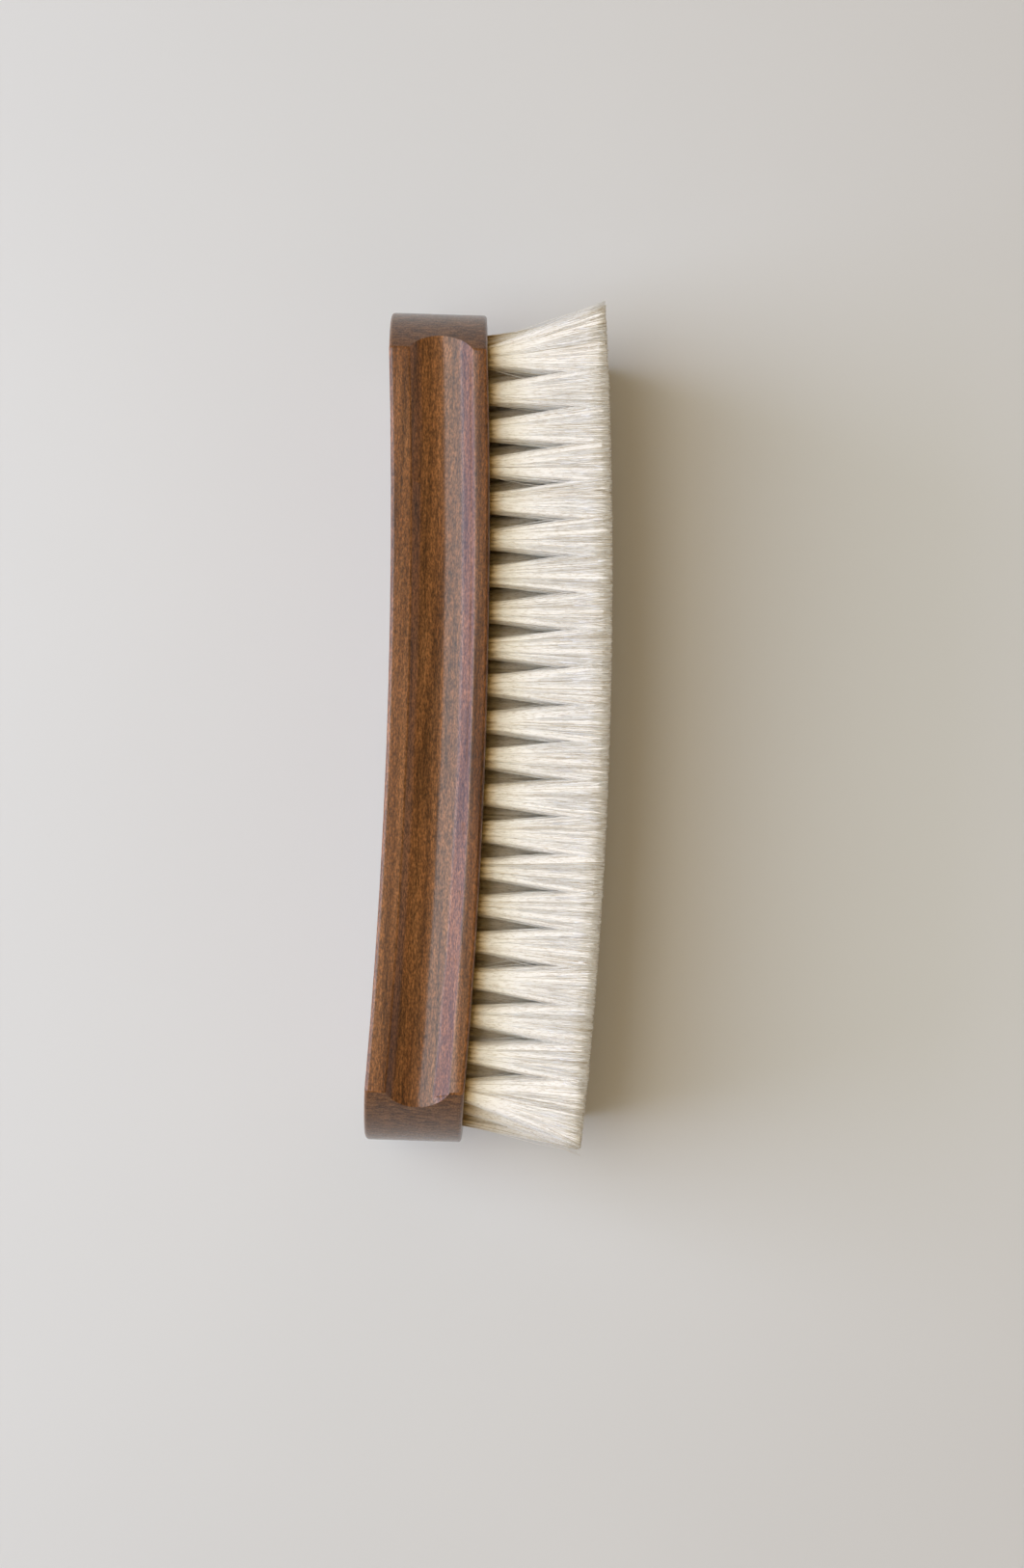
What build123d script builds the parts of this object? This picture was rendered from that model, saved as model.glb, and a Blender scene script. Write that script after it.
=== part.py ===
"""Curved wooden hair brush lying on its side.

The brush rests on one long side of its handle.  +X runs from the hollow back
to the hair tips, +Y along the brush, +Z up across its width.  The origin is
the middle of the bottom of the whole brush.  All sizes are in millimetres.
"""

from build123d import *
import math
import os

# ---------------------------------------------------------------- handle
handle_length = 180.0        # end to end, at the middle of the width
handle_width = 55.0          # one grooved side to the other
handle_thickness = 20.5      # back to bristle face
bend_radius = 1350.0         # of the hollow back, along the length
end_rise = 12.9              # how far each rounded end stands past its corners
crease_radius = 1.0          # softened corner where a side meets a round end
arris_radius = 0.8           # rounding of the edges around the back and the face

groove_radius = 8.6          # round bottom of the finger grooves
groove_depth = 3.05
groove_rim_radius = 0.6      # softened edge of a groove
groove_offset = 0.6          # from the middle of the thickness towards the face

# ---------------------------------------------------------------- holes
hole_diameter = 4.5
back_wall = 8.5              # wood left behind a hole
groove_floor_wall = 1.4      # wood left between a groove and the outer holes
row_count = 5                # rows along the brush, each shifted half a pitch
tuft_pitch = 7.67            # hole to hole along a row
end_margin = 5.5             # least length from a hole's middle to the handle's end

# ---------------------------------------------------------------- hair
hair_length = 25.5           # free hair in the middle of the brush
trim_radius = 1100.0         # of the trimmed tips, along the length
tip_side_inset = 0.5         # tips stay this far inside the handle's sides
end_overhang = 0.3           # last tips of the middle row, past the handle's end
end_taper = 1.45             # how much less each row further out reaches
root_clearance = 0.05        # between hair and hole wall
tip_clearance = 0.15         # between neighbouring tufts, on each side
tip_corner_radius = 1.2

# ---------------------------------------------------------------- anchor wire
wire_thickness = 0.45
wire_height = 2.0
wire_bite = 0.6              # each end driven into the wall of the hole
fold_height = 1.5            # hair under the wire, at the bottom of the hole

# ---------------------------------------------------------------- worked out
face_radius = bend_radius + handle_thickness
hole_depth = handle_thickness - back_wall
mid_height = handle_width / 2
tip_top = handle_thickness + hair_length
outer_row_inset = groove_depth + groove_floor_wall + hole_diameter / 2
row_pitch = (handle_width - 2 * outer_row_inset) / (row_count - 1)
tip_row_pitch = (handle_width - 2 * tip_side_inset) / row_count
end_radius = (mid_height**2 + end_rise**2) / (2 * end_rise)
hair_spread = 1 + hair_length / face_radius
bend_axis = Axis((-bend_radius, 0, 0), (0, 0, 1))
sweep_degrees = 2 * math.degrees(math.asin((handle_length / 2 + 10) / bend_radius))


def bent(section):
    """Sweep a section of the XZ plane along the bend of the brush."""
    swept = revolve(Plane.XZ * section, axis=bend_axis, revolution_arc=sweep_degrees)
    return swept.rotate(bend_axis, -sweep_degrees / 2)


def bend_plane(radius, centre_x, angle, height):
    """Plane square to the radius of an arc: local X along the brush, local Y up."""
    outward = (math.cos(angle), math.sin(angle), 0)
    along = (-math.sin(angle), math.cos(angle), 0)
    origin = (centre_x + radius * outward[0], radius * outward[1], height)
    return Plane(origin=origin, x_dir=along, z_dir=outward)


def face_plane(station, height):
    """Plane on the bristle face, at a length measured along its bend."""
    return bend_plane(face_radius, -bend_radius, station / face_radius, height)


def tip_plane(station, height):
    """Plane on the trimmed tips, at a length measured along their bend."""
    return bend_plane(trim_radius, tip_top - trim_radius, station / trim_radius, height)


# ================================================================ wooden block
def plan_outline():
    """Outline seen from the back: straight sides and shallow round ends."""
    corner = handle_length / 2 - end_rise
    tip = handle_length / 2
    lower = -mid_height
    upper = mid_height
    outline = Line((-corner, lower), (corner, lower))
    outline += ThreePointArc((corner, lower), (tip, 0), (corner, upper))
    outline += Line((corner, upper), (-corner, upper))
    outline += ThreePointArc((-corner, upper), (-tip, 0), (-corner, lower))
    return make_face(outline)


def groove_section(side):
    """Cross-section of a finger groove and the open space beside it."""
    half_chord = math.sqrt(groove_radius**2 - (groove_radius - groove_depth) ** 2)
    lip_width = 2 * half_chord + 4 * groove_rim_radius
    lip_height = groove_radius
    circle_height = side * (mid_height + groove_radius - groove_depth)
    section = Pos(0, side * (mid_height + lip_height / 2)) * Rectangle(lip_width, lip_height)
    section += Pos(0, circle_height) * Circle(groove_radius)
    rims = section.vertices().filter_by(
        lambda v: abs(abs(v.Y) - mid_height) < 0.01 and abs(v.X) < half_chord + groove_rim_radius
    )
    section = fillet(rims, groove_rim_radius)
    return Pos(handle_thickness / 2 + groove_offset, mid_height) * section


def edges_across(block):
    """Edges that run from the back to the face."""
    return block.edges().filter_by(lambda e: e.bounding_box().size.X > handle_thickness / 2)


def make_block():
    """Bent block with round ends, softened edges and a groove in each side."""
    section = Pos(handle_thickness / 2, mid_height) * Rectangle(handle_thickness, handle_width)
    plan = Plane.YZ * Pos(0, mid_height) * plan_outline()
    deepest = 4 * handle_thickness
    block = bent(section) & extrude(plan, amount=deepest, both=True)
    block = fillet(edges_across(block), crease_radius)
    block = fillet(block.edges() - edges_across(block), arris_radius)
    for side in (-1, 1):
        block -= bent(groove_section(side))
    return block


# ================================================================ hole pattern
def row_height(row):
    """Height of a row at the bristle face, rows counted from the bottom."""
    return mid_height + (row - (row_count - 1) / 2) * row_pitch


def tip_row_height(row):
    """Height of the same row's hair at the tips."""
    return mid_height + (row - (row_count - 1) / 2) * tip_row_pitch


def row_reach(row):
    """How far along the brush the holes of a row may go."""
    across = row_height(row) - mid_height
    end_here = math.sqrt(end_radius**2 - across**2) - end_radius + handle_length / 2
    return end_here - end_margin


def line_indexes(row):
    """Places of a row's tufts, in half pitches from the middle of the brush."""
    shifted = (row - (row_count - 1) // 2) % 2
    count = int(row_reach(row) / (tuft_pitch / 2))
    return [i for i in range(-count, count + 1) if (i - shifted) % 2 == 0]


# ================================================================ tufts and wires
def tip_edge(index, side):
    """Where one side of a tuft ends on the trimmed face."""
    return (index + side) * tuft_pitch / 2 * hair_spread - side * tip_clearance


def end_edge(row, side):
    """Where the last tuft of a row ends, fanned out to the trimmed end."""
    rows_out = abs(row - (row_count - 1) / 2)
    return side * (handle_length / 2 + end_overhang - rows_out * end_taper)


def wire_box(row, index, thickness, height, length):
    """Flat strip standing across the hole, over the fold of the hair."""
    place = face_plane(index * tuft_pitch / 2, row_height(row))
    middle = -hole_depth + fold_height + wire_height / 2
    return place * Pos(0, 0, middle) * Box(thickness, length, height)


def make_wire(row, index):
    """Anchor wire, reaching into the wood on both sides of the hole."""
    length = hole_diameter + 2 * wire_bite
    return wire_box(row, index, wire_thickness, wire_height, length)


def make_tuft(row, index, first_index, last_index):
    """Folded bundle of hair: a round root in its hole and a fan to its tips."""
    root_plane = face_plane(index * tuft_pitch / 2, row_height(row))
    root_circle = root_plane * Circle(hole_diameter / 2 - root_clearance)
    low = end_edge(row, -1) if index == first_index else tip_edge(index, -1)
    high = end_edge(row, 1) if index == last_index else tip_edge(index, 1)
    tip_depth = tip_row_pitch - 2 * tip_clearance
    tip_cell = RectangleRounded(high - low, tip_depth, tip_corner_radius)
    tip_face = tip_plane((low + high) / 2, tip_row_height(row)) * tip_cell
    root = extrude(root_circle, amount=-hole_depth)
    fan = loft([root_circle.face(), tip_face.face()])
    return root + fan - make_wire(row, index)


def make_hole(row, index):
    """Blind hole drilled square to the bristle face."""
    place = face_plane(index * tuft_pitch / 2, row_height(row))
    return place * Pos(0, 0, -hole_depth / 2 + 1) * Cylinder(hole_diameter / 2, hole_depth + 2)


# ================================================================ whole brush
os.makedirs("parts", exist_ok=True)
rows = {row: line_indexes(row) for row in range(row_count)}
places = [(row, index) for row, indexes in rows.items() for index in indexes]

block = make_block()
cutters = [make_hole(row, index) for row, index in places]
cutters += [make_wire(row, index) for row, index in places]
block = block - cutters

# the middle of the bottom of the whole brush becomes the origin
to_origin = Pos(-(block.bounding_box().min.X + tip_top) / 2, 0, 0)
export_step(to_origin * block, "parts/handle_block.step")

for row, indexes in rows.items():
    wires = Compound(children=[to_origin * make_wire(row, index) for index in indexes])
    export_step(wires, f"parts/anchor_wires_row_{row + 1}.step")

lines = sorted({index for _, index in places})
for number, line in enumerate(lines, start=1):
    tufts = [
        to_origin * make_tuft(row, line, indexes[0], indexes[-1])
        for row, indexes in rows.items()
        if line in indexes
    ]
    export_step(Compound(children=tufts), f"parts/tuft_line_{number:02d}.step")
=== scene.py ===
"""Looks of the curved wooden hair brush: oiled wood, bundled pale hair and steel wire.

Everything is in metres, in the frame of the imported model: +X from the hollow
back to the hair tips, +Y along the brush, +Z up across its width.
"""

import math

import bmesh
import bpy
import numpy as np
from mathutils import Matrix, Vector


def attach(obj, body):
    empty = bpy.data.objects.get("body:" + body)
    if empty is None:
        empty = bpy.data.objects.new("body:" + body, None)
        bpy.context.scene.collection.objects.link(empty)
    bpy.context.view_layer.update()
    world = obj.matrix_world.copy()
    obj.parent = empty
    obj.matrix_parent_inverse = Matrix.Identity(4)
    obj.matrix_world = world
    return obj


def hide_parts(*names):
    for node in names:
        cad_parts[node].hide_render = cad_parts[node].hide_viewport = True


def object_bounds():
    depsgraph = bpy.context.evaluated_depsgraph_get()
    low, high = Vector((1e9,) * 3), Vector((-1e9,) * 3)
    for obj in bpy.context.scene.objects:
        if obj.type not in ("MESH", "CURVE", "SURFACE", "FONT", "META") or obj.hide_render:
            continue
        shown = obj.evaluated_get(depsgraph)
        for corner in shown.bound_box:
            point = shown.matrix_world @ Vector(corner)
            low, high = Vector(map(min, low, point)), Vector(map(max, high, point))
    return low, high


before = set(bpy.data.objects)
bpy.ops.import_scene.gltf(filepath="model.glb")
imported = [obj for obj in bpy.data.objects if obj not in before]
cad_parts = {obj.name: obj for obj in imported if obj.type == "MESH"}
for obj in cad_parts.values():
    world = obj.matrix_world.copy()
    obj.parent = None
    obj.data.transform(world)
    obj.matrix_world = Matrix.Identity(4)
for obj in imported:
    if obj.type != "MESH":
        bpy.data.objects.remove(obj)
cad_low, cad_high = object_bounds()

MM = 0.001
WOOD_NODE = "handle_block"
TUFT_PREFIX = "tuft_line_"
WIRE_PREFIX = "anchor_wires_row_"
SEED = 20817
SHARP_DEGREES = 32

# ---------------------------------------------------------------- hair sizes
ROOT_START = 1.5 * MM         # strands begin this far inside the hole
HOLE_DEPTH = 12.0 * MM
SHELL_STRANDS = 700           # long strands that cover a tuft
PILE_STRANDS = 700            # short strands that fill its trimmed end
STRAY_STRANDS = 4
STRAND_RADIUS = 0.075 * MM
STRAND_SIDES = 3
SHELL_RINGS = 7
PILE_RINGS = 3
PILE_LENGTH = 7.0 * MM
PILE_BLUR = 0.35              # share of a half cell that the short strands spread over
SPREAD_ALONG = 1.30           # tips of neighbouring tufts mix along the brush
SPREAD_ACROSS = 1.30
END_SPREAD = 1.04             # on the outer side of the last tufts
SIDE_GAP = 0.35 * MM          # hair stays this far inside the handle's sides
CORE_DROP = 0.14 * MM         # the solid middle of a tuft ends below its tips
CORE_SCALE = 1.16
CORE_INSET = 0.15 * MM        # and lies this far below the outermost strands
CORE_SIDES = 48
CORE_RINGS = 14
CORE_WAVES = 6                # waves that add up to the ridges of a core
RIDGE_HEIGHT = 0.016          # share of the core's width
RIDGE_INSET = 0.045
CORE_TONE = 0.30
ROOT_FILL = 0.97              # share of the hole's mouth that the hair fills
CELL_SQUARENESS = 0.85        # 0 is a round tip outline, 1 a sharp-cornered one
LOCK_COUNT = 60
LOCK_PULL = 0.16              # how far a strand may lean to its lock
FLOOR_HALF = 20.0


# ================================================================ shader helpers
def new_material(name):
    """Empty node material with its output and shader."""
    material = bpy.data.materials.new(name)
    material.use_nodes = True
    nodes = material.node_tree.nodes
    shader = nodes["Principled BSDF"]
    return material, nodes, material.node_tree.links, shader


def mapped(nodes, links, coords, scale, rotation=(0, 0, 0)):
    """Coordinates scaled to repeats per metre on each axis."""
    mapping = nodes.new("ShaderNodeMapping")
    mapping.inputs["Scale"].default_value = scale
    mapping.inputs["Rotation"].default_value = rotation
    links.new(coords, mapping.inputs["Vector"])
    return mapping.outputs["Vector"]


def noise(nodes, links, vector, detail=3.0, roughness=0.55, distortion=0.0):
    """Noise in the mapped coordinates."""
    node = nodes.new("ShaderNodeTexNoise")
    node.inputs["Scale"].default_value = 1.0
    node.inputs["Detail"].default_value = detail
    node.inputs["Roughness"].default_value = roughness
    node.inputs["Distortion"].default_value = distortion
    links.new(vector, node.inputs["Vector"])
    return node.outputs["Fac"]


def ramp(nodes, links, factor, stops):
    """Colour ramp with (position, colour) stops."""
    node = nodes.new("ShaderNodeValToRGB")
    elements = node.color_ramp.elements
    while len(elements) < len(stops):
        elements.new(0.5)
    for element, (position, colour) in zip(elements, stops):
        element.position = position
        element.color = (*colour, 1.0)
    links.new(factor, node.inputs["Fac"])
    return node.outputs["Color"]


def grey(value):
    """Colour without hue."""
    return (value, value, value)


def mix(nodes, links, factor, first, second, blend_type="MIX"):
    """Colour mix; the factor is a number or a socket."""
    node = nodes.new("ShaderNodeMix")
    node.data_type = "RGBA"
    node.blend_type = blend_type
    for value, socket in ((factor, node.inputs[0]), (first, node.inputs[6]), (second, node.inputs[7])):
        if isinstance(value, bpy.types.NodeSocket):
            links.new(value, socket)
        elif isinstance(value, tuple):
            socket.default_value = (*value, 1.0)
        else:
            socket.default_value = value
    return node.outputs[2]


def maths(nodes, links, operation, first, second=0.0):
    """Math node; either value is a number or a socket."""
    node = nodes.new("ShaderNodeMath")
    node.operation = operation
    for value, socket in ((first, node.inputs[0]), (second, node.inputs[1])):
        if isinstance(value, bpy.types.NodeSocket):
            links.new(value, socket)
        else:
            socket.default_value = value
    return node.outputs[0]


# ================================================================ oiled wood
def make_wood():
    """Oiled brown beech: drifting bands, dark streaks, fibres, flecks and end grain."""
    material, nodes, links, shader = new_material("oiled_beech")
    coords = nodes.new("ShaderNodeTexCoord").outputs["Object"]

    # broad bands that drift slowly along the plank
    bands_at = mapped(nodes, links, coords, (190, 13, 120), rotation=(0.0, 0.12, 0.03))
    bands = noise(nodes, links, bands_at, detail=3.0, roughness=0.55, distortion=0.5)
    colour = ramp(nodes, links, bands, [
        (0.30, (0.115, 0.040, 0.012)),
        (0.46, (0.172, 0.065, 0.020)),
        (0.58, (0.218, 0.088, 0.029)),
        (0.72, (0.270, 0.118, 0.044)),
    ])

    # dark streaks a hand's breadth long
    streak_at = mapped(nodes, links, coords, (760, 34, 500), rotation=(0.0, 0.2, 0.02))
    streak_noise = noise(nodes, links, streak_at, detail=2.0, roughness=0.6, distortion=0.3)
    streaks = ramp(nodes, links, streak_noise, [(0.34, grey(0.60)), (0.50, grey(1.0)), (0.66, grey(1.15))])
    colour = mix(nodes, links, 0.9, colour, streaks, "MULTIPLY")

    # fine fibres and a crisp speckle of pores and ray flecks
    fibre_at = mapped(nodes, links, coords, (2600, 480, 2600))
    fibres = noise(nodes, links, fibre_at, detail=2.0, roughness=0.6)
    fibre_tone = ramp(nodes, links, fibres, [(0.34, grey(0.58)), (0.50, grey(1.0)), (0.66, grey(1.45))])
    colour = mix(nodes, links, 0.9, colour, fibre_tone, "MULTIPLY")
    speckle_at = mapped(nodes, links, coords, (3600, 1500, 3600))
    speckle = noise(nodes, links, speckle_at, detail=1.0, roughness=0.5)
    speckle_tone = ramp(nodes, links, speckle, [(0.36, grey(0.58)), (0.52, grey(1.0)), (0.66, grey(1.38))])
    colour = mix(nodes, links, 0.9, colour, speckle_tone, "MULTIPLY")

    # the round ends show end grain: darker, dull, with slanting strokes
    normal = nodes.new("ShaderNodeNewGeometry").outputs["Normal"]
    split = nodes.new("ShaderNodeSeparateXYZ")
    links.new(normal, split.inputs["Vector"])
    facing_end = maths(nodes, links, "ABSOLUTE", split.outputs["Y"])
    end_mask = ramp(nodes, links, facing_end, [(0.25, grey(0.0)), (0.75, grey(1.0))])
    stroke_at = mapped(nodes, links, coords, (420, 900, 1900), rotation=(0.0, 0.45, 0.0))
    strokes = noise(nodes, links, stroke_at, detail=2.0, roughness=0.6)
    end_colour = ramp(nodes, links, strokes, [
        (0.36, (0.050, 0.018, 0.005)),
        (0.50, (0.105, 0.042, 0.013)),
        (0.64, (0.180, 0.080, 0.030)),
    ])
    end_colour = mix(nodes, links, 0.7, end_colour, speckle_tone, "MULTIPLY")
    colour = mix(nodes, links, maths(nodes, links, "MULTIPLY", end_mask, 0.85), colour, end_colour)
    links.new(colour, shader.inputs["Base Color"])

    rough = ramp(nodes, links, speckle, [(0.36, grey(0.58)), (0.64, grey(0.42))])
    links.new(rough, shader.inputs["Roughness"])
    shader.inputs["Coat Weight"].default_value = 0.75
    gloss = ramp(nodes, links, speckle, [(0.36, grey(0.24)), (0.62, grey(0.12))])
    links.new(gloss, shader.inputs["Coat Roughness"])
    shader.inputs["Specular IOR Level"].default_value = 0.22

    # fibres and pores stand as fine relief under the oil
    height = maths(nodes, links, "ADD", fibres, speckle)
    bump = nodes.new("ShaderNodeBump")
    bump.inputs["Strength"].default_value = 0.5
    bump.inputs["Distance"].default_value = 0.07 * MM
    links.new(height, bump.inputs["Height"])
    links.new(bump.outputs["Normal"], shader.inputs["Normal"])
    return material


# ================================================================ hair
def make_hair():
    """Cream goat hair: straw-tan and darker towards the roots, painted highlight at the tips, tone that
    changes from strand to strand.
    """
    material, nodes, links, shader = new_material("cream_hair")
    along = nodes.new("ShaderNodeAttribute")
    along.attribute_name = "hair_along"
    tone = nodes.new("ShaderNodeAttribute")
    tone.attribute_name = "hair_tone"
    # colour along each strand: darker straw-tan towards the root; over the last tenth it is painted lighter
    # up to white, a painted highlight at the tips
    root_to_tip_colour_and_painted_tip_light = ramp(nodes, links, along.outputs["Fac"], [
        (0.00, (0.72, 0.54, 0.24)),
        (0.06, (0.84, 0.69, 0.40)),
        (0.16, (0.93, 0.88, 0.78)),
        (0.40, (0.96, 0.95, 0.93)),
        (0.90, (0.96, 0.95, 0.93)),
        (1.00, (1.00, 1.00, 1.00)),
    ])
    tone_colour = ramp(nodes, links, tone.outputs["Fac"], [
        (0.00, (0.68, 0.59, 0.46)),
        (0.16, (0.89, 0.83, 0.74)),
        (0.34, (1.00, 0.98, 0.96)),
        (1.00, (1.00, 1.00, 1.00)),
    ])
    colour = mix(nodes, links, 1.0, root_to_tip_colour_and_painted_tip_light, tone_colour, "MULTIPLY")
    coords = nodes.new("ShaderNodeTexCoord").outputs["Object"]
    streak_at = mapped(nodes, links, coords, (180, 4600, 4600))
    streaks = noise(nodes, links, streak_at, detail=2.0, roughness=0.6)
    streak_tone = ramp(nodes, links, streaks, [(0.34, (0.72, 0.67, 0.60)), (0.50, grey(1.0))])
    colour = mix(nodes, links, 0.8, colour, streak_tone, "MULTIPLY")

    # the trimmed ends show fine dark dots: painted shade in the gaps between hair ends
    dots_at = mapped(nodes, links, coords, (400, 1500, 1500))
    dots = noise(nodes, links, dots_at, detail=3.0, roughness=0.75)
    painted_gap_shade_tone = ramp(nodes, links, dots, [(0.38, (0.50, 0.43, 0.34)), (0.52, grey(1.0))])
    at_end = ramp(nodes, links, along.outputs["Fac"], [(0.985, grey(0.0)), (1.0, grey(1.0))])
    colour = mix(nodes, links, at_end, colour, painted_gap_shade_tone, "MULTIPLY")
    links.new(colour, shader.inputs["Base Color"])
    rough = ramp(nodes, links, streaks, [(0.3, grey(0.55)), (0.7, grey(0.40))])
    links.new(rough, shader.inputs["Roughness"])
    shader.inputs["Specular IOR Level"].default_value = 0.65
    shader.inputs["Sheen Weight"].default_value = 0.25
    shader.inputs["Sheen Roughness"].default_value = 0.4
    bump = nodes.new("ShaderNodeBump")
    bump.inputs["Strength"].default_value = 0.4
    bump.inputs["Distance"].default_value = 0.05 * MM
    links.new(streaks, bump.inputs["Height"])
    links.new(bump.outputs["Normal"], shader.inputs["Normal"])
    return material


# ================================================================ wire
def make_steel():
    """Flat drawn wire, with fine lines along it and a few dull spots."""
    material, nodes, links, shader = new_material("drawn_wire")
    coords = nodes.new("ShaderNodeTexCoord").outputs["Object"]
    lines = noise(nodes, links, mapped(nodes, links, coords, (9000, 9000, 500)), detail=2.0)
    spots = noise(nodes, links, mapped(nodes, links, coords, (700, 700, 700)), detail=3.0)
    tone = ramp(nodes, links, spots, [(0.35, (0.36, 0.34, 0.31)), (0.6, (0.62, 0.60, 0.57))])
    links.new(tone, shader.inputs["Base Color"])
    links.new(ramp(nodes, links, lines, [(0.3, grey(0.45)), (0.7, grey(0.25))]), shader.inputs["Roughness"])
    shader.inputs["Metallic"].default_value = 1.0
    return material


def make_floor_material():
    """Pale stone tabletop with the faintest cloudiness."""
    material, nodes, links, shader = new_material("pale_tabletop")
    coords = nodes.new("ShaderNodeTexCoord").outputs["Object"]
    clouds = noise(nodes, links, mapped(nodes, links, coords, (5, 5, 5)), detail=3.0)
    tone = ramp(nodes, links, clouds, [(0.3, (0.665, 0.670, 0.685)), (0.7, (0.690, 0.695, 0.710))])
    links.new(tone, shader.inputs["Base Color"])
    shader.inputs["Roughness"].default_value = 0.5
    return material


# ================================================================ handle
def make_handle(material):
    """Wooden block with its facets shaded as the smooth faces they stand for."""
    rough = bmesh.new()
    rough.from_mesh(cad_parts[WOOD_NODE].data)
    bmesh.ops.remove_doubles(rough, verts=rough.verts, dist=0.0005 * MM)
    bmesh.ops.dissolve_degenerate(rough, edges=rough.edges, dist=0.0005 * MM)
    rough.verts.index_update()
    verts = [vertex.co[:] for vertex in rough.verts]
    faces = [[vertex.index for vertex in face.verts] for face in rough.faces]
    rough.free()
    mesh = bpy.data.meshes.new("handle_wood")
    mesh.from_pydata(verts, [], faces)
    mesh.polygons.foreach_set("use_smooth", np.ones(len(faces), bool))
    mesh.set_sharp_from_angle(angle=math.radians(SHARP_DEGREES))
    mesh.materials.append(material)
    piece = bpy.data.objects.new("handle_wood", mesh)
    bpy.context.scene.collection.objects.link(piece)
    shading = piece.modifiers.new("even_shading", "WEIGHTED_NORMAL")
    shading.keep_sharp = True
    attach(piece, "root")
    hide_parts(WOOD_NODE)


# ================================================================ tufts read from the frame
def islands(node):
    """Vertex positions of each separate solid of a CAD node."""
    mesh = bmesh.new()
    mesh.from_mesh(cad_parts[node].data)
    bmesh.ops.remove_doubles(mesh, verts=mesh.verts, dist=0.001 * MM)
    unseen = set(mesh.verts)
    found = []
    while unseen:
        queue = [unseen.pop()]
        members = []
        while queue:
            vertex = queue.pop()
            members.append(vertex.co[:])
            for edge in vertex.link_edges:
                other = edge.other_vert(vertex)
                if other in unseen:
                    unseen.remove(other)
                    queue.append(other)
        found.append(np.array(members))
    mesh.free()
    return sorted(found, key=lambda points: points[:, 2].mean())


def read_tuft(points):
    """Mouth, axis and tip rectangle of one CAD tuft."""
    bottom = points[points[:, 0] < points[:, 0].min() + 0.35 * MM]
    base = (bottom.min(0) + bottom.max(0)) / 2
    ring = points[np.abs(points[:, 0] - base[0] - HOLE_DEPTH) < 0.35 * MM]
    mouth = (ring.min(0) + ring.max(0)) / 2
    axis = (mouth - base) / np.linalg.norm(mouth - base)
    top = points[points[:, 0] > points[:, 0].max() - 1.6 * MM]
    low_side = top[top[:, 1] < top[:, 1].min() + 0.3 * MM]
    high_side = top[top[:, 1] > top[:, 1].max() - 0.3 * MM]
    low = np.array([low_side[:, 0].max(), top[:, 1].min(), 0.0])
    high = np.array([high_side[:, 0].max(), top[:, 1].max(), 0.0])
    middle = (low + high) / 2
    middle[2] = (top[:, 2].min() + top[:, 2].max()) / 2
    along = (high - low) / np.linalg.norm(high - low)
    return {
        "mouth": mouth,
        "axis": axis,
        "radius": (ring[:, 2].max() - ring[:, 2].min()) / 2,
        "tip": middle,
        "along": along,
        "outward": np.cross(along, (0.0, 0.0, 1.0)),
        "half_along": np.linalg.norm(high - low) / 2,
        "half_across": (top[:, 2].max() - top[:, 2].min()) / 2,
        "end_side": 0,
    }


def read_tufts(names):
    """Tufts of every line, with the two ends of each row marked."""
    lines = {name: [read_tuft(points) for points in islands(name)] for name in names}
    rows = {}
    for tufts in lines.values():
        for tuft in tufts:
            rows.setdefault(round(tuft["mouth"][2] / MM), []).append(tuft)
    for row in rows.values():
        row.sort(key=lambda tuft: tuft["mouth"][1])
        row[0]["end_side"] = -1
        row[-1]["end_side"] = 1
    return lines


# ================================================================ hair geometry
UP = np.array([0.0, 0.0, 1.0])
floor_z = cad_low[2]
top_z = cad_high[2]


def square_from_disc(disc):
    """Spread points of the unit disc over a square with soft corners."""
    length = np.linalg.norm(disc, axis=1)
    reach = np.abs(disc).max(axis=1)
    stretch = np.where(reach > 1e-9, length / np.maximum(reach, 1e-9), 1.0)
    return disc * (1 + (stretch[:, None] - 1) * CELL_SQUARENESS)


def tip_points(tuft, square, spread_along, spread_across):
    """Places on the trimmed face for points of the unit square."""
    outside = square[:, 0] * tuft["end_side"] > 0
    reach = np.where(outside, END_SPREAD, spread_along)
    along = square[:, 0] * tuft["half_along"] * reach
    across = square[:, 1] * tuft["half_across"] * spread_across
    points = tuft["tip"] + along[:, None] * tuft["along"] + across[:, None] * UP
    points[:, 2] = np.clip(points[:, 2], floor_z + SIDE_GAP, top_z - SIDE_GAP)
    return points


def root_points(tuft, disc, depth):
    """Places across the hole for points of the unit disc."""
    side = np.cross(UP, tuft["axis"])
    offset = disc[:, :1] * side + disc[:, 1:] * UP
    return tuft["mouth"] - depth * tuft["axis"] + offset * tuft["radius"] * ROOT_FILL


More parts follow.
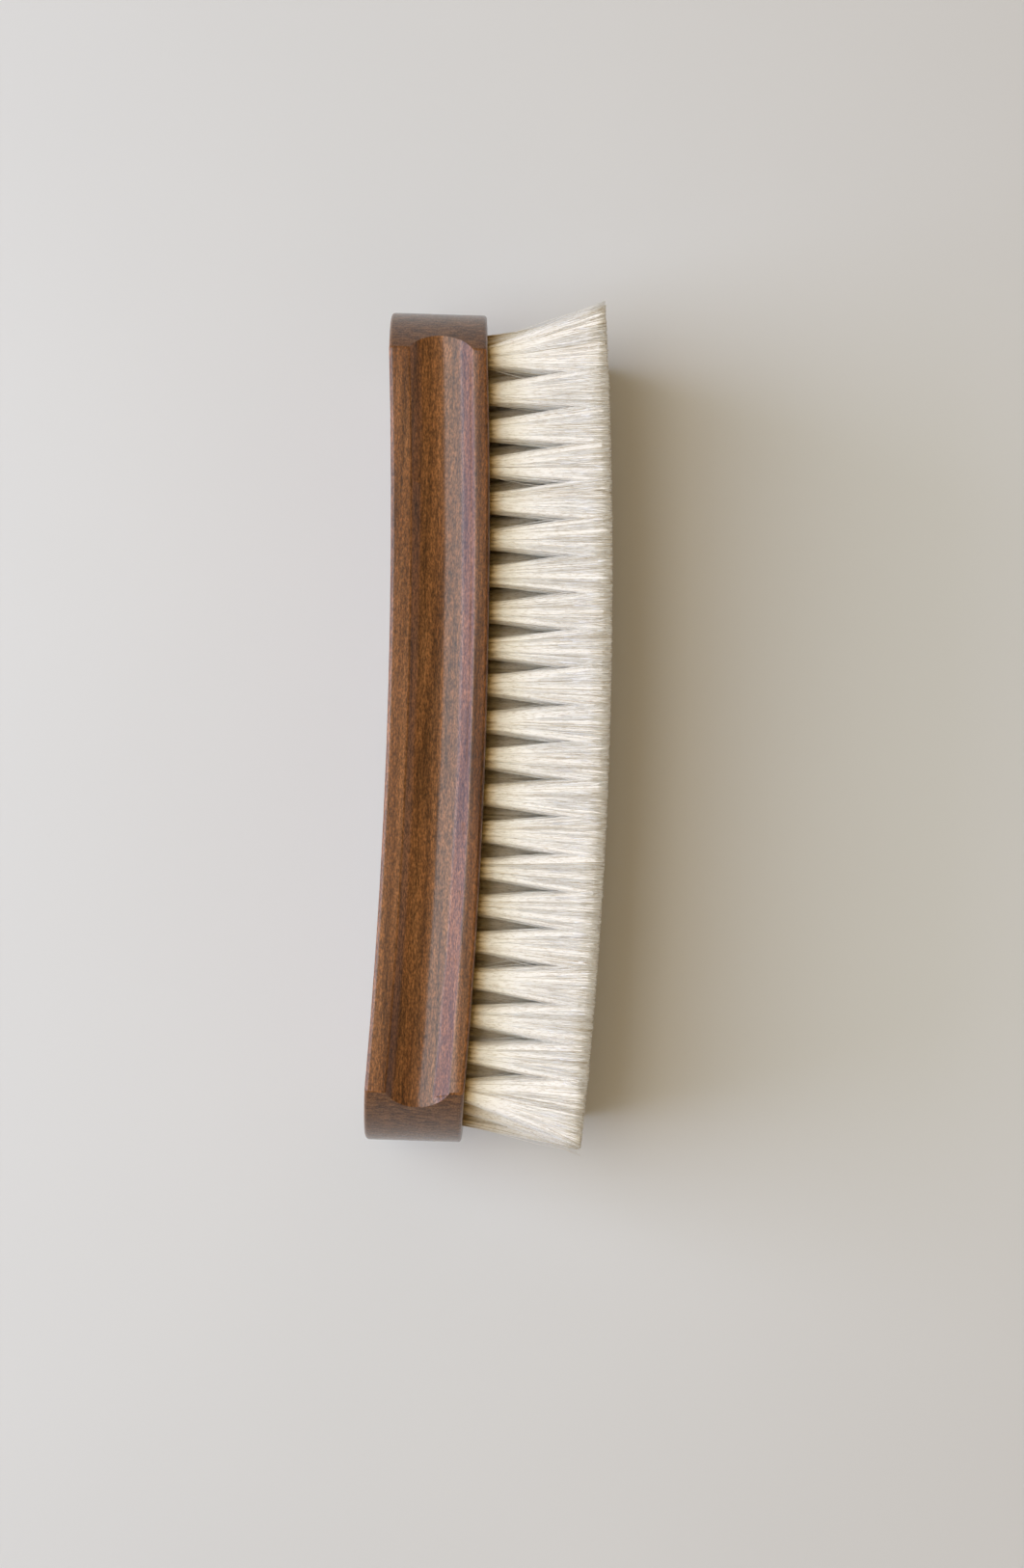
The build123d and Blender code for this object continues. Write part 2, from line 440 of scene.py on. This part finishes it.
def strand_mesh(paths, radii, tones, alongs):
    """Three-sided tapered tubes along many paths: paths is (strands, rings, 3)."""
    count, rings, _ = paths.shape
    forward = np.gradient(paths, axis=1)
    forward /= np.linalg.norm(forward, axis=2, keepdims=True)
    side = np.cross(forward, UP)
    side /= np.linalg.norm(side, axis=2, keepdims=True)
    other = np.cross(forward, side)
    angles = np.arange(STRAND_SIDES) * 2 * math.pi / STRAND_SIDES
    ring = np.cos(angles)[:, None] * side[:, :, None, :] + np.sin(angles)[:, None] * other[:, :, None, :]
    verts = (paths[:, :, None, :] + ring * radii[:, :, None, None]).reshape(-1, 3)

    strand = np.arange(count)[:, None, None] * rings * STRAND_SIDES
    level = np.arange(rings - 1)[None, :, None] * STRAND_SIDES
    corner = np.arange(STRAND_SIDES)[None, None, :]
    nearby = (corner + 1) % STRAND_SIDES
    quads = np.stack([
        strand + level + corner,
        strand + level + nearby,
        strand + level + STRAND_SIDES + nearby,
        strand + level + STRAND_SIDES + corner,
    ], axis=-1).reshape(-1, 4)
    last = (rings - 1) * STRAND_SIDES
    first_caps = strand[:, 0, 0][:, None] + np.arange(STRAND_SIDES)[::-1]
    last_caps = strand[:, 0, 0][:, None] + last + np.arange(STRAND_SIDES)
    caps = np.concatenate([first_caps, last_caps])
    tone = np.repeat(tones, rings * STRAND_SIDES)
    along = np.repeat(alongs.reshape(-1), STRAND_SIDES)
    return verts, quads, caps, tone, along


def bent_paths(random, starts, ends, rings, axis, bow, wave):
    """Strand paths that leave along the hole and waver a little on the way out."""
    count = len(starts)
    t = np.linspace(0, 1, rings)[None, :, None]
    span = ends - starts
    length = np.linalg.norm(span, axis=1)[:, None, None]
    straight = starts[:, None, :] + span[:, None, :] * t
    leave = axis[None, None, :] * length - span[:, None, :]
    path = straight + leave * (t * (1 - t) ** 3) * 0.55
    bend = random.normal(0, 1, (count, 1, 3)) * bow
    ripple = random.normal(0, 1, (count, 1, 3)) * wave
    phase = random.uniform(0, 2 * math.pi, (count, 1, 1))
    turns = random.uniform(1.0, 2.2, (count, 1, 1))
    path = path + bend * (t * (1 - t)) * 4 * np.array([0.2, 1, 1])
    path = path + ripple * np.sin(phase + turns * 2 * math.pi * t) * t * np.array([0.2, 1, 1])
    return path


def shell_strands(random, tuft, count):
    """Long strands over the outside of a tuft, gathered in loose locks."""
    angle = random.uniform(0, 2 * math.pi, count)
    reach = 1 - 0.42 * random.random(count) ** 1.7
    disc = np.stack([np.cos(angle), np.sin(angle)], axis=1) * reach[:, None]
    locks = random.uniform(-1, 1, (LOCK_COUNT, 2))
    locks /= np.maximum(np.linalg.norm(locks, axis=1, keepdims=True), 0.75)
    nearest = np.argmin(np.linalg.norm(disc[:, None, :] - locks[None, :, :], axis=2), axis=1)
    tip_disc = disc + (locks[nearest] - disc) * random.uniform(0.0, LOCK_PULL, (count, 1))
    tip_disc += random.normal(0, 0.05, (count, 2))
    square = square_from_disc(tip_disc)
    ends = tip_points(tuft, square, SPREAD_ALONG, SPREAD_ACROSS)
    trim = random.normal(0.0, 0.12, count) * MM
    ends += trim[:, None] * tuft["outward"]
    starts = root_points(tuft, disc, ROOT_START)
    paths = bent_paths(random, starts, ends, SHELL_RINGS, tuft["axis"], 0.12 * MM, 0.07 * MM)
    t = np.linspace(0, 1, SHELL_RINGS)[None, :]
    radii = STRAND_RADIUS * random.uniform(0.65, 1.35, (count, 1)) * (1.05 - 0.35 * t)
    return paths, radii, random.random(count) ** 0.8, np.repeat(t, count, axis=0)


def stray_strands(random, tuft, count, wildness):
    """A few hairs that leave the bundle at an angle."""
    angle = random.uniform(0, 2 * math.pi, count)
    disc = np.stack([np.cos(angle), np.sin(angle)], axis=1) * 0.95
    starts = root_points(tuft, disc, ROOT_START)
    square = disc * (1.0 + wildness * random.random((count, 1)))
    ends = tip_points(tuft, square, SPREAD_ALONG, SPREAD_ACROSS)
    ends += random.uniform(-2.5, 0.5, count)[:, None] * MM * tuft["outward"]
    paths = bent_paths(random, starts, ends, SHELL_RINGS, tuft["axis"], 0.7 * MM, 0.2 * MM)
    paths[:, :, 2] = np.clip(paths[:, :, 2], floor_z + SIDE_GAP, top_z + 1.0 * MM)
    t = np.linspace(0, 1, SHELL_RINGS)[None, :]
    radii = STRAND_RADIUS * random.uniform(0.7, 1.0, (count, 1)) * (1.05 - 0.5 * t)
    return paths, radii, random.random(count), np.repeat(t, count, axis=0)


def pile_strands(random, tuft, count):
    """Short strands that make up the trimmed end."""
    square = random.uniform(-1, 1, (count, 2))
    blurred = square + random.uniform(-PILE_BLUR, PILE_BLUR, (count, 2))
    past_end = blurred[:, 0] * tuft["end_side"] > 1
    blurred[past_end] = square[past_end]
    ends = tip_points(tuft, blurred, 1.0, 1.0)
    trim = random.normal(0.0, 0.10, count) * MM
    ends += trim[:, None] * tuft["outward"]
    starts_at_root = root_points(tuft, square * 0.7, ROOT_START)
    back = starts_at_root - ends
    back /= np.linalg.norm(back, axis=1, keepdims=True)
    starts = ends + back * PILE_LENGTH * random.uniform(0.4, 1.6, (count, 1))
    starts += random.normal(0, 0.25 * MM, (count, 3)) * np.array([0.2, 1, 1])
    starts[:, 2] = np.clip(starts[:, 2], floor_z + SIDE_GAP, top_z - SIDE_GAP)
    paths = bent_paths(random, starts, ends, PILE_RINGS, -back.mean(0), 0.05 * MM, 0.05 * MM)
    t = np.linspace(0, 1, PILE_RINGS)[None, :]
    radii = STRAND_RADIUS * random.uniform(0.9, 1.5, (count, 1)) * (1.0 - 0.1 * t)
    alongs = 0.7 + 0.3 * np.repeat(t, count, axis=0)
    return paths, radii, random.random(count) ** 0.8, alongs


def tuft_core(random, tuft):
    """Closed, ridged middle of a tuft, so that no light falls through it."""
    angle = np.arange(CORE_SIDES) * 2 * math.pi / CORE_SIDES
    disc = np.stack([np.cos(angle), np.sin(angle)], axis=1)
    ends = tip_points(tuft, square_from_disc(disc), SPREAD_ALONG, SPREAD_ACROSS)
    limit = tip_points(tuft, square_from_disc(disc), CORE_SCALE, CORE_SCALE)
    limit[:, 2] = np.clip(limit[:, 2], floor_z + SIDE_GAP + CORE_INSET, top_z - SIDE_GAP - CORE_INSET)
    starts = root_points(tuft, disc, ROOT_START)
    t = np.linspace(0, 1, CORE_RINGS)
    start_middle, end_middle = starts.mean(0), ends.mean(0)
    ridge_angles = random.integers(5, 19, CORE_WAVES)[:, None] * angle[None, :]
    shifts = random.uniform(0, 2 * math.pi, (CORE_WAVES, 1))
    ridges = np.sin(ridge_angles + shifts).sum(0) * RIDGE_HEIGHT
    rings = []
    for level in t:
        middle = start_middle + (end_middle - start_middle) * level
        wide = starts + (ends - starts) * level - middle
        room = limit - end_middle
        ratio = np.linalg.norm(room, axis=1) / np.linalg.norm(wide, axis=1)
        wide = wide * np.minimum(1.0, ratio)[:, None]
        rings.append(middle + wide * (1 + (ridges - RIDGE_INSET) * (1 - level**4))[:, None])
    down = CORE_DROP * (ends - starts) / np.linalg.norm(ends - starts, axis=1, keepdims=True)
    rings[-1] = rings[-1] - down
    end_point = rings[-1].mean(0)
    verts = np.concatenate(rings + [start_middle[None], end_point[None]])
    quads = []
    for level in range(CORE_RINGS - 1):
        for corner in range(CORE_SIDES):
            nearby = (corner + 1) % CORE_SIDES
            low, high = level * CORE_SIDES, (level + 1) * CORE_SIDES
            quads.append((low + corner, low + nearby, high + nearby, high + corner))
    root_tip, end_tip = CORE_RINGS * CORE_SIDES, CORE_RINGS * CORE_SIDES + 1
    last = (CORE_RINGS - 1) * CORE_SIDES
    caps = []
    for corner in range(CORE_SIDES):
        nearby = (corner + 1) % CORE_SIDES
        caps.append((nearby, corner, root_tip))
        caps.append((last + corner, last + nearby, end_tip))
    along = np.concatenate([np.repeat(t, CORE_SIDES), [0.0, 1.0]])
    tone = np.full(len(verts), CORE_TONE)
    return verts, np.array(quads), np.array(caps), tone, along


def build_mesh(name, parts):
    """One mesh from (verts, quads, triangles, tone, along) parts; the triangles are flat ends."""
    verts, loops, starts, smooth = [], [], [], []
    tones, alongs = [], []
    offset = 0
    loop_total = 0
    for part_verts, quads, caps, tone, along in parts:
        for faces in (quads, caps):
            size = faces.shape[1]
            loops.append((faces + offset).reshape(-1))
            starts.append(loop_total + np.arange(len(faces)) * size)
            smooth.append(np.full(len(faces), faces is quads))
            loop_total += faces.size
        verts.append(part_verts)
        tones.append(tone)
        alongs.append(along)
        offset += len(part_verts)
    verts = np.concatenate(verts)
    loops = np.concatenate(loops)
    starts = np.concatenate(starts)
    mesh = bpy.data.meshes.new(name)
    mesh.vertices.add(len(verts))
    mesh.vertices.foreach_set("co", verts.astype(np.float32).reshape(-1))
    mesh.loops.add(len(loops))
    mesh.loops.foreach_set("vertex_index", loops.astype(np.int32))
    mesh.polygons.add(len(starts))
    mesh.polygons.foreach_set("loop_start", starts.astype(np.int32))
    mesh.polygons.foreach_set("use_smooth", np.concatenate(smooth))
    for label, values in (("hair_tone", tones), ("hair_along", alongs)):
        attribute = mesh.attributes.new(label, "FLOAT", "POINT")
        attribute.data.foreach_set("value", np.concatenate(values).astype(np.float32))
    mesh.update(calc_edges=True)
    mesh.validate()
    return mesh


def make_hair_line(node, tufts, number, material):
    """Hair of one line of tufts across the brush."""
    random = np.random.default_rng(SEED + number)
    parts = []
    for tuft in tufts:
        parts.append(tuft_core(random, tuft))
        parts.append(strand_mesh(*shell_strands(random, tuft, SHELL_STRANDS)))
        parts.append(strand_mesh(*pile_strands(random, tuft, PILE_STRANDS)))
        strays = STRAY_STRANDS * (3 if tuft["end_side"] else 1)
        parts.append(strand_mesh(*stray_strands(random, tuft, strays, 0.5)))
    name = node.replace(TUFT_PREFIX, "hair_line_")
    piece = bpy.data.objects.new(name, build_mesh(name, parts))
    bpy.context.scene.collection.objects.link(piece)
    piece.data.materials.append(material)
    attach(piece, "root")
    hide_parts(node)


# ================================================================ stage
def make_floor():
    """Pale flat tabletop, well past the camera's view."""
    mesh = bpy.data.meshes.new("tabletop")
    far = FLOOR_HALF
    corners = [(-far, -far, 0), (far, -far, 0), (far, far, 0), (-far, far, 0)]
    mesh.from_pydata(corners, [], [(0, 1, 2, 3)])
    floor = bpy.data.objects.new("tabletop", mesh)
    bpy.context.scene.collection.objects.link(floor)
    mesh.materials.append(make_floor_material())


def area_light(name, location, target, size, watts, colour):
    """Soft square light that looks at a point."""
    data = bpy.data.lights.new(name, "AREA")
    data.shape = "RECTANGLE"
    data.size, data.size_y = size
    data.energy = watts
    data.color = colour
    light = bpy.data.objects.new(name, data)
    light.location = location
    aim = Vector(target) - Vector(location)
    light.rotation_euler = aim.to_track_quat("-Z", "Y").to_euler()
    bpy.context.scene.collection.objects.link(light)
    return light


def make_lights():
    """A cool window high on the left, low sky beyond it and a warm lamp overhead."""
    area_light("window", (-0.68, 0.02, 1.00), (0, 0, 0), (1.0, 1.2), 12.2, (0.79, 0.91, 1.0))
    area_light("low_sky", (-1.40, 0.02, 0.50), (0, 0, 0), (1.1, 0.9), 10.0, (0.60, 0.63, 1.0))
    lamp = area_light("room_lamp", (-0.16, 0.0, 1.3), (0, 0, 0), (0.5, 0.5), 3.2, (1.0, 0.77, 0.45))
    lamp.visible_glossy = False


def make_room():
    """Warm dim room above a pale backdrop at the horizon."""
    world = bpy.data.worlds.new("room")
    world.use_nodes = True
    nodes, links = world.node_tree.nodes, world.node_tree.links
    split = nodes.new("ShaderNodeSeparateXYZ")
    links.new(nodes.new("ShaderNodeTexCoord").outputs["Generated"], split.inputs["Vector"])
    walls = ramp(nodes, links, split.outputs["Z"], [
        (0.27, (0.58, 0.57, 0.55)),
        (0.40, (0.240, 0.165, 0.065)),
    ])
    links.new(walls, nodes["Background"].inputs["Color"])
    bpy.context.scene.world = world


def make_camera():
    """Almost straight down on the brush, turned a little so that the brush leans."""
    data = bpy.data.cameras.new("camera")
    data.lens = 50.0
    data.clip_start = 0.01
    camera = bpy.data.objects.new("camera", data)
    tilt = math.radians(2.2)
    distance = 0.449
    camera.location = (
        0.0052,
        -0.0131 - distance * math.sin(tilt),
        cad_high[2] + distance * math.cos(tilt),
    )
    camera.rotation_euler = (tilt, 0.0, math.radians(1.76))
    bpy.context.scene.collection.objects.link(camera)
    bpy.context.scene.camera = camera


# ================================================================ the brush
wood = make_wood()
hair = make_hair()
steel = make_steel()

make_handle(wood)
for name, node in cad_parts.items():
    if name.startswith(WIRE_PREFIX):
        node.data.materials.clear()
        node.data.materials.append(steel)

tuft_lines = read_tufts(sorted(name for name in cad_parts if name.startswith(TUFT_PREFIX)))
for number, (name, tufts) in enumerate(tuft_lines.items(), start=1):
    make_hair_line(name, tufts, number, hair)

make_floor()
make_lights()
make_room()
make_camera()
bpy.context.scene.view_settings.view_transform = "Standard"
